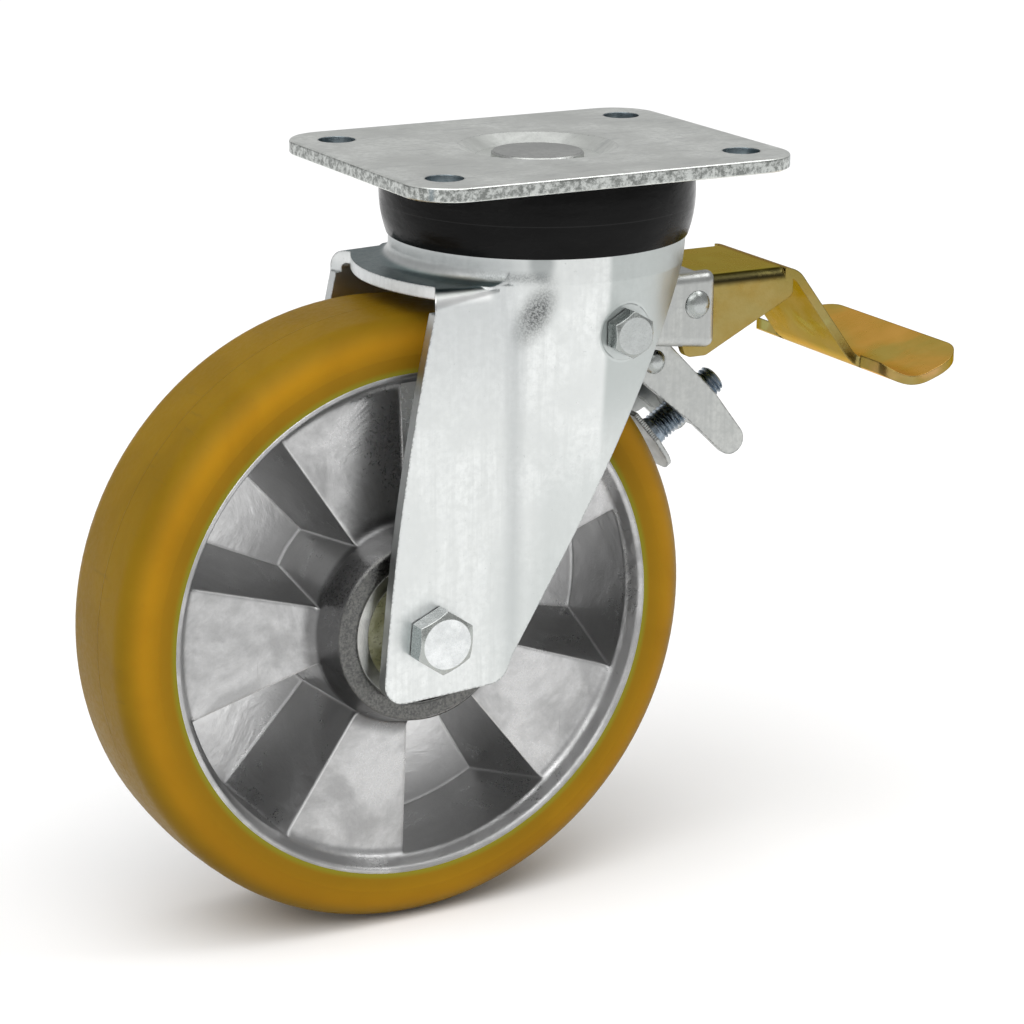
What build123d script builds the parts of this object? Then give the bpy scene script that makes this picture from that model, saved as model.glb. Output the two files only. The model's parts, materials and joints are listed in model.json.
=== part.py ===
from build123d import *
import math
import os

os.makedirs("parts", exist_ok=True)

# A heavy swivel castor with a wheel brake, in millimetres.
# The origin is the centre of the top plate's upper face, on the swivel axis.
# +Z is up, +X points from the swivel axis towards the brake pedal, and the
# wheel's axle runs along Y. The side with the bolt heads is -Y, called near.

# Wheel
wheel_radius = 100.0
tyre_width = 50.0
tyre_depth = 17.5
tyre_shoulder = 11.0
tread_rise = 0.6
wheel_top_gap = 6.0
wheel_offset = 55.0
rim_band_thickness = 4.5
rim_half_width = 24.5
hub_half_length = 29.0
hub_end_radius = 29.5
hub_web_radius = 33.5
web_half_width = 18.0
web_thickness = 5.5
pocket_count = 5
pocket_mouth_half_deg = 20.0
pocket_floor_half_deg = 11.5
pocket_floor_inner_radius = 34.5
pocket_draft = 1.5
pocket_root = 0.7
rim_mouth_draft = 3.0
rim_edge_radius = 0.8
web_root_radius = 4.0
hub_root_radius = 2.5
first_pocket_deg = 0.0

# Wheel bearings and axle
bearing_bore_radius = 10.0
bearing_outer_radius = 23.5
bearing_width = 14.0
bearing_recess = 0.8
bearing_ball_radius = 4.0
bearing_ball_count = 8
bearing_inner_wall = 3.6
bearing_outer_wall = 4.0
shield_thickness = 0.6
shield_recess = 0.4
axle_radius = 6.0
axle_bolt_flats = 18.0
axle_bolt_head = 7.5
axle_nut_height = 11.0
axle_washer_radius = 12.0
axle_washer_thickness = 2.5
bolt_tip = 2.5
bolt_end_bevel_share = 0.12
hexagon_bevel_deg = 30.0

# Fork
sheet = 4.0
fork_inner_half_width = 33.0
fork_bend_radius = 7.0
knuckle_bend_radius = 2.0
knuckle_inner_radius = 0.5
cup_radius = 47.6
cup_bend_radius = 6.0
cup_top_z = -18.0
shelf_top_z = -35.0
shelf_radius = 59.5
shelf_half_chord = 29.5
shelf_fillet = 4.5
crease_radius = 10.0
swell_foot_bow_x = -10.0
swell_foot_bow = 0.6
swell_foot_corner_x = 8.0
swell_foot_corner = 3.0
swell_foot_rear_x = 18.0
swell_foot_rear_bow = 1.0
leg_front_top_x = -55.4
leg_front_ahead = 10.5
leg_front_mid_rise = 51.0
toe_ahead = 18.6
toe_behind = 27.0
toe_corner = 3.5
toe_drop = 20.5
toe_rear_drop = 9.6
toe_slope = 2.2
toe_radius = 7.0
rear_wall_end_x = 38.2
rear_wall_bottom_z = -28.0

# Top plate and swivel head
plate_length = 133.5
plate_width = 109.0
plate_thickness = 4.5
plate_corner_radius = 15.0
plate_edge_round = 0.8
hole_spacing_x = 105.0
hole_spacing_y = 75.0
hole_radius = 6.0
dish_floor_radius = 20.0
dish_rim_radius = 25.5
dish_depth = 3.4
kingpin_radius = 8.0
kingpin_head_radius = 14.75
kingpin_head_height = 1.8
kingpin_head_edge = 0.6
kingpin_tip = 2.0
kingpin_tip_bevel = 1.0
kingpin_nut_flats = 24.0
kingpin_nut_height = 8.0
head_bore_radius = 13.0
upper_ball_radius = 4.5
upper_ball_count = 16
upper_track_radius = 34.0
upper_track_half_width = 7.0
upper_track_height = 4.5
upper_ball_rise = 1.9
lower_ball_radius = 3.5
lower_ball_count = 12
lower_track_radius = 19.0
lower_track_half_width = 6.0
lower_track_height = 3.5
lower_ball_drop = 1.7
lower_race_height = 4.5
seal_top_gap = 0.7
seal_bottom_z = -26.9
seal_lip = 0.6
seal_top_wall = 3.0
seal_top_draw = 1.0
seal_bulge = 2.8
seal_bulge_z = -11.0

# Brake pivot and bracket
brake_pivot_x = 6.8
brake_pivot_z = -51.9
pivot_seat_half_width = 45.2
pivot_seat_radius = 9.0
pivot_bolt_radius = 4.0
pivot_bolt_flats = 13.0
pivot_bolt_head = 6.3
pivot_nut_height = 8.0
pivot_washer_radius = 8.0
pivot_washer_thickness = 1.6
pivot_tube_radius = 6.0
bracket_half_width = 25.0
bracket_sheet = 2.5
bracket_end_x = 53.0
bracket_web_start_x = 20.0
bracket_web_end_x = 46.0
bracket_top_z = -41.0
bracket_bottom_z = -66.8
bracket_arm_bottom_z = -63.6
bracket_arm_x = 26.0
bracket_arm_top = 2.0
bracket_arm_top_run = 6.0
bracket_eye_radius = 9.8
bracket_bend_radius = 3.5
bracket_corner_radius = 3.0

# Pedal
pedal_half_width = 22.0
pedal_sheet = 3.0
pedal_web_top_z = -43.4
pedal_web_start_x = 48.6
pedal_crest_x = 85.3
pedal_flange_end_x = 83.8
pedal_pin_x = 45.4
pedal_pin_z = -51.4
pedal_lobe_x = 46.7
pedal_lobe_z = -69.3
pedal_eye_radius = 8.8
pedal_crest_radius = 9.0
pedal_bend_radius = 4.0
pedal_lobe_corner = 3.0
pedal_tip_corner = 2.5
pedal_flange_tip_z = -52.6
pedal_side_ahead = 6.0
pedal_side_drop = 2.0
pedal_lobe_ahead = 3.5
pedal_lobe_behind = 4.0
gutter_x = 113.8
gutter_z = -81.6
gutter_radius = 14.0
pad_edge_x = 140.0
pad_edge_z = -72.7
pad_half_width = 44.0
pad_inner_x = 109.0
pad_stem_overlap = 6.0
notch_radius = 1.8
pad_outer_corner = 13.0
pad_inner_corner = 8.0
pin_radius = 3.0
pedal_pin_head_radius = 4.65
lever_pin_head_radius = 4.0
pin_head_height = 2.2

# Shoe, screw and release levers
shoe_polar_deg = 24.6
screw_angle_deg = 33.5
shoe_gap = 4.9
shoe_thickness = 1.6
shoe_half_width = 10.5
shoe_upper_length = 13.0
shoe_lower_length = 11.4
shoe_bend_across = -1.85
shoe_bend_deg = 6.5
shoe_bend_radius = 4.0
shoe_tongue_radius = 8.0
shoe_tooth_pitch = 0.9
shoe_tooth_depth = 0.4
screw_radius = 5.0
screw_length = 31.5
screw_chamfer = 0.8
screw_nut_flats = 17.0
screw_nut_height = 8.0
carrier_seat = 17.6
carrier_seat_half_length = 7.0
carrier_half_width = 16.0
carrier_sheet = 2.5
carrier_arm_radius = 7.0
carrier_foot_radius = 4.5
carrier_eye_margin = 1.0
lever_pin_x = 33.6
lever_pin_z = -70.4
lever_sheet = 2.5
lever_eye_radius = 7.6
lever_mid_x = 52.3
lever_mid_z = -87.7
lever_mid_radius = 6.3
lever_tip_x = 63.2
lever_tip_z = -99.9
lever_tip_radius = 5.0
lever_gap = 0.1
lobe_x = 47.2
lobe_z = -93.2
lobe_radius = 3.5
spring_radius = 7.1
spring_wire_radius = 0.7
spring_pitch = 2.0
spring_turns = 5

# Clearances
running = 0.05
loose = 0.3
side_gap = 0.5
track_gap = 0.3
overlap = 1.0

# Places worked out from the sizes above
fork_outer = fork_inner_half_width + sheet
plate_bottom_z = -plate_thickness
cup_inner_radius = cup_radius - sheet
crown_under_z = cup_top_z - sheet
shelf_under_z = shelf_top_z - sheet
wheel_x = -wheel_offset
wheel_z = shelf_under_z - wheel_top_gap - wheel_radius
total_height = wheel_radius - wheel_z
tyre_bond_radius = wheel_radius - tyre_depth
leg_toe_bottom_z = wheel_z - toe_drop
upper_ball_z = cup_top_z + upper_track_height + upper_ball_rise
lower_ball_z = crown_under_z - lower_track_height - lower_ball_drop
bearing_face = hub_half_length - bearing_recess
bearing_inner_face = bearing_face - bearing_width
blend_x = -math.sqrt((cup_radius + crease_radius) ** 2 - (fork_outer + crease_radius) ** 2)
beyond = 2 * total_height


def slab(face, y_low, y_high):
    """Extrude a sketch drawn in X and Z so that it spans y_low to y_high."""
    return extrude(Plane.XZ.offset(-y_high) * face, y_high - y_low)


def outline(points):
    """A closed flat face with straight sides."""
    return make_face(Polyline(*points, close=True))


def disc_z(radius, z_low, z_high, x=0.0, y=0.0):
    """A cylinder that stands on the Z axis, or beside it."""
    return Pos(x, y, (z_low + z_high) / 2) * Cylinder(radius, z_high - z_low)


def disc_y(x, z, radius, y_low, y_high):
    """A cylinder along Y."""
    body = Cylinder(radius, y_high - y_low)
    return Pos(x, (y_low + y_high) / 2, z) * Rot(90, 0, 0) * body


def ring_y(x, z, inner, outer, y_low, y_high):
    """A tube along Y."""
    return disc_y(x, z, outer, y_low, y_high) - disc_y(x, z, inner, y_low - overlap, y_high + overlap)


def turned_z(points):
    """Turn a profile of (radius, z) points about the swivel axis."""
    return revolve(Plane.XZ * outline(points), Axis.Z)


def hexagon(flats, height):
    """A hexagon standing on Z = 0 with its upper corners turned off."""
    body = extrude(RegularPolygon(flats / 2, 6, major_radius=False), height)
    corner = flats / math.sqrt(3)
    bevel = (corner - flats / 2) * math.tan(math.radians(hexagon_bevel_deg))
    cone = extrude(Circle(corner), height)
    cone = chamfer(cone.edges().sort_by(Axis.Z)[-1], bevel, corner - flats / 2)
    return body & cone


def hexagon_nut(flats, height, bore):
    return hexagon(flats, height) - Cylinder(bore, 3 * height)


def facing_near(x, z, y):
    """The place of a piece built along +Z that has to stand out towards -Y."""
    return Pos(x, y, z) * Rot(90, 0, 0)


def facing_far(x, z, y):
    """The place of a piece built along +Z that has to stand out towards +Y."""
    return Pos(x, y, z) * Rot(-90, 0, 0)


def ball_ring(count, ring_radius, ball_radius, place):
    """Separate balls spaced round a circle."""
    balls = []
    for index in range(count):
        turn = 2 * math.pi * index / count
        spot = Pos(ring_radius * math.cos(turn), ring_radius * math.sin(turn), 0)
        balls.append(place * spot * Sphere(ball_radius))
    return Compound(children=balls)


def groove(ring_radius, wire_radius, z):
    """A full torus round the swivel axis, used to cut a ball track."""
    return Pos(0, 0, z) * Torus(ring_radius, wire_radius)


def make_top_plate():
    """The pressed mounting plate, dished round the kingpin."""
    blank = RectangleRounded(plate_length, plate_width, plate_corner_radius)
    plate = extrude(blank, -plate_thickness)
    rims = plate.faces().sort_by(Axis.Z)[-1].edges() + plate.faces().sort_by(Axis.Z)[0].edges()
    plate = fillet(rims, plate_edge_round)
    holes = GridLocations(hole_spacing_x, hole_spacing_y, 2, 2)
    plate -= holes * Cylinder(hole_radius, 3 * plate_thickness)
    slope = dish_rim_radius - dish_floor_radius
    dish_floor_z = plate_bottom_z - dish_depth
    boss_radius = dish_floor_radius + 0.4 * sheet
    plate += turned_z([(0, -0.5 * plate_thickness), (boss_radius + slope, -0.5 * plate_thickness),
                       (boss_radius + slope, plate_bottom_z), (boss_radius, dish_floor_z),
                       (0, dish_floor_z)])
    plate -= turned_z([(0, overlap), (dish_rim_radius, overlap), (dish_rim_radius, 0),
                       (dish_floor_radius, -dish_depth), (0, -dish_depth)])
    plate -= disc_z(kingpin_radius + running, dish_floor_z - overlap, overlap)
    return plate


def make_kingpin(nut_bottom_z):
    """The swivel pin, with its flat round head in the dish."""
    tip_z = nut_bottom_z - kingpin_tip
    head_top_z = -dish_depth + kingpin_head_height
    return turned_z([(0, head_top_z), (kingpin_head_radius - kingpin_head_edge, head_top_z),
                     (kingpin_head_radius, head_top_z - kingpin_head_edge),
                     (kingpin_head_radius, -dish_depth), (kingpin_radius, -dish_depth),
                     (kingpin_radius, tip_z + kingpin_tip_bevel),
                     (kingpin_radius - kingpin_tip_bevel, tip_z), (0, tip_z)])


def make_upper_race():
    """The hardened ring under the plate that rides on the large balls."""
    low_z = upper_ball_z + upper_ball_rise
    inner = upper_track_radius - upper_track_half_width + 2 * side_gap
    race = disc_z(upper_track_radius + upper_track_half_width, low_z, plate_bottom_z)
    race -= disc_z(inner, low_z - overlap, plate_bottom_z + overlap)
    return race - groove(upper_track_radius, upper_ball_radius + track_gap, upper_ball_z)


def make_fork_upper_track():
    """The ball track on top of the fork's crown."""
    top_z = cup_top_z + upper_track_height
    track = disc_z(upper_track_radius + upper_track_half_width, cup_top_z, top_z)
    track -= disc_z(upper_track_radius - upper_track_half_width, cup_top_z - overlap, top_z + overlap)
    return track - groove(upper_track_radius, upper_ball_radius + running, upper_ball_z)


def make_fork_lower_track():
    """The ball track under the fork's crown."""
    low_z = crown_under_z - lower_track_height
    track = disc_z(lower_track_radius + lower_track_half_width, low_z, crown_under_z)
    inner = lower_track_radius - lower_track_half_width
    track -= disc_z(inner, low_z - overlap, crown_under_z + overlap)
    return track - groove(lower_track_radius, lower_ball_radius + running, lower_ball_z)


def make_lower_race(top_z, bottom_z):
    """The race that the kingpin's nut presses up against the small balls."""
    race = disc_z(lower_track_radius + lower_track_half_width, bottom_z, top_z)
    race -= disc_z(kingpin_radius + running, bottom_z - overlap, top_z + overlap)
    return race - groove(lower_track_radius, lower_ball_radius + track_gap, lower_ball_z)


def make_seal_ring():
    """The black barrel-shaped guard ring that closes the gap between plate and fork."""
    top_z = plate_bottom_z - seal_top_gap
    foot = cup_radius + running
    bend_z = cup_top_z - cup_bend_radius
    bulge_radius = cup_radius + seal_bulge
    top_radius = cup_radius + seal_top_wall - seal_top_draw
    inner = top_radius - seal_top_wall
    profile = make_face([ThreePointArc((foot + seal_lip, seal_bottom_z), (bulge_radius, seal_bulge_z),
                                       (top_radius, top_z)),
                         Line((top_radius, top_z), (inner, top_z)),
                         Line((inner, top_z), (inner, cup_top_z + loose)),
                         Line((inner, cup_top_z + loose), (foot, bend_z + overlap)),
                         Line((foot, bend_z + overlap), (foot, seal_bottom_z)),
                         Line((foot, seal_bottom_z), (foot + seal_lip, seal_bottom_z))])
    return revolve(Plane.XZ * profile, Axis.Z)


def swell_edges(half):
    """A closed section that is the same on both sides, from its edges on the far side."""
    mirrored = [mirror(edge, about=Plane.XZ) for edge in half]
    front = Line(half[0] @ 0, mirrored[0] @ 0)
    return make_face([front] + half + mirrored)


def swell_top(inset):
    """Section of the swelled sides where they leave the round cup."""
    radius = cup_radius - inset
    side = fork_outer - inset
    centre = Vector(blend_x, fork_outer + crease_radius)
    inward = -centre.normalized()
    middle = centre + (inward + Vector(0, -1)).normalized() * (crease_radius + inset)
    blend_end = inward * -radius
    diagonal = Vector(radius, 0).rotate(Axis.Z, 45)
    bow = (blend_end.normalized() + Vector(1, 1).normalized()).normalized() * radius
    return swell_edges([ThreePointArc((blend_x, side), middle, blend_end),
                        ThreePointArc(blend_end, bow, diagonal),
                        ThreePointArc(diagonal, Vector(radius, 0).rotate(Axis.Z, 22.5), (radius, 0))])


def swell_foot(inset):
    """Section of the swelled sides at the toe, where they end in the flat legs."""
    side = fork_outer - inset
    corner = (swell_foot_corner_x, side - swell_foot_corner)
    rear = swell_foot_rear_x - inset
    blend_end = (blend_x + 0.5 * crease_radius, side)
    turned = ((swell_foot_corner_x + rear) / 2 + swell_foot_rear_bow, side / 2)
    return swell_edges([Line((blend_x, side), blend_end),
                        ThreePointArc(blend_end, (swell_foot_bow_x, side - swell_foot_bow), corner),
                        ThreePointArc(corner, turned, (rear, 0))])


def swell(inset):
    """The body that runs from the round cup down into the flat legs."""
    top = Pos(0, 0, shelf_top_z) * swell_top(inset)
    foot = Pos(0, 0, leg_toe_bottom_z - sheet) * swell_foot(inset)
    return loft([top, foot], ruled=True)


def bend_section(x, half_width, top_z, radius):
    """What the bend takes off the corner of the fork's front strip, at one place."""
    across = half_width - radius
    up = top_z - radius
    reach = radius * math.cos(math.radians(45))
    outer = half_width + sheet
    above = top_z + sheet
    edges = [ThreePointArc((half_width, up), (across + reach, up + reach), (across, top_z)),
             Line((across, top_z), (across, above)), Line((across, above), (outer, above)),
             Line((outer, above), (outer, up)), Line((outer, up), (half_width, up))]
    return Plane(origin=(x, 0, 0), x_dir=(0, 1, 0), z_dir=(1, 0, 0)) * make_face(edges)


def front_strip(half_width, top_z, front_bend, knuckle_bend):
    """The shelf and flat legs in the block: the bend between them tightens rearwards."""
    lip_x = -shelf_radius - sheet
    front_x = min(lip_x, wheel_x - toe_ahead - sheet)
    height = top_z - leg_toe_bottom_z + sheet
    block = Pos((front_x + blend_x) / 2, 0, top_z - height / 2) * Box(
        blend_x - front_x, 2 * half_width, height)
    corner = loft([bend_section(lip_x - overlap, half_width, top_z, front_bend),
                   bend_section(blend_x + overlap, half_width, top_z, knuckle_bend)], ruled=True)
    block -= corner
    return block - mirror(corner, about=Plane.XZ)


def side_profile():
    """The fork's side view: its legs' front and rear edges, the toe and the rear wall's foot."""
    bend_z = shelf_top_z - fork_bend_radius
    front_top = (leg_front_top_x, bend_z)
    front_mid = (wheel_x - leg_front_ahead, wheel_z + leg_front_mid_rise)
    toe_front = (wheel_x - toe_ahead, leg_toe_bottom_z)
    toe_back = (wheel_x + toe_behind - toe_corner, leg_toe_bottom_z + toe_slope)
    rear_low = (wheel_x + toe_behind, wheel_z - toe_rear_drop)
    rear_top = (rear_wall_end_x, rear_wall_bottom_z)
    ahead_x = -shelf_radius - 2 * sheet
    behind_x = cup_radius + 2 * sheet
    shape = make_face([ThreePointArc(front_top, front_mid, toe_front), Line(toe_front, toe_back),
                       Line(toe_back, rear_low), Line(rear_low, rear_top),
                       Line(rear_top, (behind_x, rear_wall_bottom_z)),
                       Line((behind_x, rear_wall_bottom_z), (behind_x, 0)),
                       Line((behind_x, 0), (ahead_x, 0)), Line((ahead_x, 0), (ahead_x, bend_z)),
                       Line((ahead_x, bend_z), front_top)])
    toe = shape.vertices().sort_by(Axis.Y)[:3]
    return fillet(toe, toe_radius)


def front_trim():
    """What the shelf's round front lip takes off the front strip above the legs."""
    lip_x = -math.sqrt(shelf_radius ** 2 - shelf_half_chord ** 2)
    ahead_x = -shelf_radius - 2 * sheet
    outer = fork_outer + sheet
    edges = [ThreePointArc((lip_x, -shelf_half_chord), (-shelf_radius, 0), (lip_x, shelf_half_chord)),
             Line((lip_x, shelf_half_chord), (leg_front_top_x, fork_outer)),
             Line((leg_front_top_x, fork_outer), (leg_front_top_x, outer)),
             Line((leg_front_top_x, outer), (ahead_x, outer)), Line((ahead_x, outer), (ahead_x, -outer)),
             Line((ahead_x, -outer), (leg_front_top_x, -outer)),
             Line((leg_front_top_x, -outer), (leg_front_top_x, -fork_outer)),
             Line((leg_front_top_x, -fork_outer), (lip_x, -shelf_half_chord))]
    bend_z = shelf_top_z - fork_bend_radius
    return extrude(Pos(0, 0, bend_z) * make_face(edges), fork_bend_radius + sheet)


def make_fork():
    """The one-piece pressed fork: cup, shelf, swelled sides and two legs."""
    body = front_strip(fork_outer, shelf_top_z, fork_bend_radius, knuckle_bend_radius) + swell(0)
    body -= front_strip(fork_inner_half_width, shelf_under_z, fork_bend_radius - sheet,
                        knuckle_inner_radius)
    body -= swell(sheet)
    cup = disc_z(cup_radius, shelf_top_z, cup_top_z)
    cup = fillet(cup.faces().sort_by(Axis.Z)[-1].edges(), cup_bend_radius)
    hollow = disc_z(cup_inner_radius, shelf_top_z, crown_under_z)
    hollow = fillet(hollow.faces().sort_by(Axis.Z)[-1].edges(), cup_bend_radius - sheet)
    front = disc_z(cup_inner_radius, shelf_under_z - sheet, shelf_top_z + overlap)
    front &= Pos(blend_x - cup_radius, 0, shelf_top_z) * Box(2 * cup_radius, beyond, 4 * sheet)
    body += cup
    body += make_shelf_fillet()
    body -= hollow
    body -= front
    fork = body & slab(side_profile(), -beyond, beyond)
    fork -= front_trim()
    fork -= disc_z(head_bore_radius, crown_under_z - overlap, cup_top_z + overlap)
    fork = add_pivot_seats(fork)
    fork -= disc_y(wheel_x, wheel_z, axle_radius + running, -beyond, beyond)
    return fork - disc_y(brake_pivot_x, brake_pivot_z, pivot_bolt_radius + running, -beyond, beyond)


def add_pivot_seats(fork):
    """Flat round seats pressed into the curved sides for the brake pivot bolt."""
    inner = pivot_seat_half_width - sheet
    outside = pivot_seat_half_width + 2 * sheet
    fork += disc_y(brake_pivot_x, brake_pivot_z, pivot_seat_radius, -pivot_seat_half_width,
                   pivot_seat_half_width)
    fork -= disc_y(brake_pivot_x, brake_pivot_z, pivot_seat_radius, pivot_seat_half_width, outside)
    fork -= disc_y(brake_pivot_x, brake_pivot_z, pivot_seat_radius, -outside, -pivot_seat_half_width)
    return fork - disc_y(brake_pivot_x, brake_pivot_z, pivot_seat_radius, -inner, inner)


def make_shelf_fillet():
    """The rounded root where the shelf leaves the cup's wall."""
    inner = cup_radius - overlap
    low_z = shelf_top_z - overlap
    top_z = shelf_top_z + shelf_fillet
    outer = cup_radius + shelf_fillet
    middle = (outer - shelf_fillet * math.cos(math.radians(45)),
              top_z - shelf_fillet * math.sin(math.radians(45)))
    profile = make_face([Line((inner, low_z), (outer, low_z)),
                         Line((outer, low_z), (outer, shelf_top_z)),
                         ThreePointArc((outer, shelf_top_z), middle, (cup_radius, top_z)),
                         Line((cup_radius, top_z), (inner, top_z)),
                         Line((inner, top_z), (inner, low_z))])
    root = revolve(Plane.XZ * profile, Axis.Z)
    knuckle_x = -math.sqrt(cup_radius ** 2 - fork_outer ** 2)
    zone = Pos(knuckle_x - cup_radius, 0, shelf_top_z) * Box(
        2 * cup_radius, 2 * fork_outer, 4 * shelf_fillet)
    return root & zone


def sector(y, inner, outer, half_deg):
    """A ring sector in the wheel's plane, centred on +X."""
    half = math.radians(half_deg)
    def at(radius, turn):
        return (radius * math.cos(turn), radius * math.sin(turn))
    edges = [ThreePointArc(at(inner, -half), (inner, 0), at(inner, half)),
             Line(at(inner, half), at(outer, half)),
             ThreePointArc(at(outer, half), (outer, 0), at(outer, -half)),
             Line(at(outer, -half), at(inner, -half))]
    return Plane.XZ.offset(-y) * make_face(edges)


def make_pocket(side):
    """One drafted pocket cut into the web from the near (-1) or far (+1) side."""
    band_inner = tyre_bond_radius - rim_band_thickness
    floor_y = -side * (web_half_width - web_thickness)
    mouth_y = side * rim_half_width
    draft = (pocket_mouth_half_deg - pocket_floor_half_deg) / (2 * web_half_width - web_thickness)
    mouth_half = pocket_mouth_half_deg + draft * (rim_half_width - web_half_width)
    mouth = sector(mouth_y, hub_web_radius - pocket_root, band_inner + pocket_root, mouth_half)
    floor = sector(floor_y, pocket_floor_inner_radius, band_inner - pocket_draft, pocket_floor_half_deg)
    return loft([mouth, floor], ruled=True)


def rim_section():
    """Half of the rim's section, as (radius, Y), with its roots and edges rounded."""
    band_inner = tyre_bond_radius - rim_band_thickness
    seat = bearing_outer_radius + running
    neck = bearing_outer_radius - bearing_outer_wall
    side = FilletPolyline((seat, hub_half_length), (hub_end_radius, hub_half_length),
                          (hub_web_radius, web_half_width), (band_inner, web_half_width),
                          (band_inner + rim_mouth_draft, rim_half_width),
                          (tyre_bond_radius, rim_half_width),
                          radius=[rim_edge_radius, hub_root_radius, web_root_radius, rim_edge_radius])
    mirrored = [mirror(edge, about=Plane.XZ) for edge in side.edges()]
    bore = Polyline((seat, hub_half_length), (seat, bearing_inner_face), (neck, bearing_inner_face),
                    (neck, -bearing_inner_face), (seat, -bearing_inner_face), (seat, -hub_half_length))
    band = Line((tyre_bond_radius, rim_half_width), (tyre_bond_radius, -rim_half_width))
    return make_face(side.edges() + mirrored + bore.edges() + [band])


def make_rim():
    """The die-cast rim: hub, band and a web folded to both sides in turn."""
    rim = revolve(rim_section(), Axis.Y)
    step = 360 / pocket_count
    near_pocket = make_pocket(-1)
    far_pocket = make_pocket(1)
    for index in range(pocket_count):
        turn = first_pocket_deg + index * step
        rim -= Rot(0, -turn, 0) * near_pocket
        rim -= Rot(0, -turn - step / 2, 0) * far_pocket
    return Pos(wheel_x, 0, wheel_z) * rim


def make_tyre():
    """The cast tyre, bonded to the rim's band."""
    half_width = tyre_width / 2
    side_radius = wheel_radius - tyre_shoulder - tread_rise
    tread_half = half_width - tyre_shoulder
    bow = tyre_shoulder * math.cos(math.radians(45))
    shoulder_radius = wheel_radius - tread_rise
    near_mid = (side_radius + bow, -tread_half - bow)
    far_mid = (side_radius + bow, tread_half + bow)
    edges = [Line((tyre_bond_radius, rim_half_width), (tyre_bond_radius, -rim_half_width)),
             Line((tyre_bond_radius, -rim_half_width), (side_radius, -half_width)),
             ThreePointArc((side_radius, -half_width), near_mid, (shoulder_radius, -tread_half)),
             ThreePointArc((shoulder_radius, -tread_half), (wheel_radius, 0),
                           (shoulder_radius, tread_half)),
             ThreePointArc((shoulder_radius, tread_half), far_mid, (side_radius, half_width)),
             Line((side_radius, half_width), (tyre_bond_radius, rim_half_width))]
    return Pos(wheel_x, 0, wheel_z) * revolve(make_face(edges), Axis.Y)


def bearing_ring(inner, outer, side, cut_radius):
    """One ball-bearing ring with its groove, on the near (-1) or far (+1) side."""
    middle = side * (bearing_face - bearing_width / 2)
    ring = ring_y(0, 0, inner, outer, middle - bearing_width / 2, middle + bearing_width / 2)
    track = (bearing_bore_radius + bearing_outer_radius) / 2
    ring -= Pos(0, middle, 0) * Rot(90, 0, 0) * Torus(track, cut_radius)
    return Pos(wheel_x, 0, wheel_z) * ring


def make_bearing(side):
    """Inner ring, outer ring, balls and shield of one wheel bearing."""
    inner_shoulder = bearing_bore_radius + bearing_inner_wall
    outer_shoulder = bearing_outer_radius - bearing_outer_wall
    track = (bearing_bore_radius + bearing_outer_radius) / 2
    middle = side * (bearing_face - bearing_width / 2)
    inner = bearing_ring(bearing_bore_radius + running, inner_shoulder, side,
                         bearing_ball_radius + track_gap)
    outer = bearing_ring(outer_shoulder, bearing_outer_radius, side, bearing_ball_radius + running)
    balls = ball_ring(bearing_ball_count, track, bearing_ball_radius,
                      Pos(wheel_x, middle, wheel_z) * Rot(90, 0, 0))
    face = side * (bearing_face - shield_recess)
    back = face - side * shield_thickness
    shield = ring_y(wheel_x, wheel_z, inner_shoulder + loose, outer_shoulder - running,
                    min(face, back), max(face, back))
    return inner, outer, balls, shield


def bolt(radius, flats, head, length, place):
    """A hexagon bolt: the head stands out and the shank runs the other way."""
    shank = Pos(0, 0, -length / 2) * Cylinder(radius, length)
    shank = chamfer(shank.edges().sort_by(Axis.Z)[0], bolt_end_bevel_share * radius)
    return place * (hexagon(flats, head) + shank)


def make_bracket():
    """The U-shaped bracket that swings on the brake pivot and holds the pedal."""
    inner = bracket_half_width - bracket_sheet
    side = outline([(brake_pivot_x, bracket_top_z - bracket_arm_top),
                    (brake_pivot_x + bracket_arm_top_run, bracket_top_z),
                    (bracket_end_x, bracket_top_z), (bracket_end_x, bracket_bottom_z),
                    (bracket_arm_x, bracket_arm_bottom_z), (brake_pivot_x, brake_pivot_z)])
    side = fillet(side.vertices().sort_by(Axis.X)[-2:], bracket_corner_radius)
    side += Pos(brake_pivot_x, brake_pivot_z) * Circle(bracket_eye_radius)
    body = slab(side, -bracket_half_width, bracket_half_width)
    long_edges = body.edges().filter_by(Axis.X).group_by(Axis.Z)[-1]
    body = fillet(long_edges, bracket_bend_radius)
    hollow = Pos(0, 0, bracket_top_z - bracket_sheet - beyond / 2) * Box(beyond, 2 * inner, beyond)
    hollow = fillet(hollow.edges().filter_by(Axis.X).group_by(Axis.Z)[-1],
                    bracket_bend_radius - bracket_sheet)
    body -= hollow
    for low, high in ((-bracket_end_x, bracket_web_start_x), (bracket_web_end_x, 2 * bracket_end_x)):
        body -= Pos((low + high) / 2, 0, bracket_top_z) * Box(
            high - low, 2 * (bracket_half_width - bracket_bend_radius), 4 * bracket_sheet)
    body -= disc_y(brake_pivot_x, brake_pivot_z, pivot_tube_radius + running, -beyond, beyond)
    return body - disc_y(pedal_pin_x, pedal_pin_z, pin_radius + running, -beyond, beyond)


def offset_below(points, thickness):
    """The corners of a folded sheet's lower face, from those of its upper face."""
    headings = []
    for start, end in zip(points, points[1:]):
        headings.append(math.atan2(end[1] - start[1], end[0] - start[0]))
    lower = []
    for index, point in enumerate(points):
        before = headings[max(index - 1, 0)]
        after = headings[min(index, len(headings) - 1)]
        middle = (before + after) / 2
        reach = thickness / math.cos((after - before) / 2)
        lower.append((point[0] + reach * math.sin(middle), point[1] - reach * math.cos(middle)))
    return lower


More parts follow.
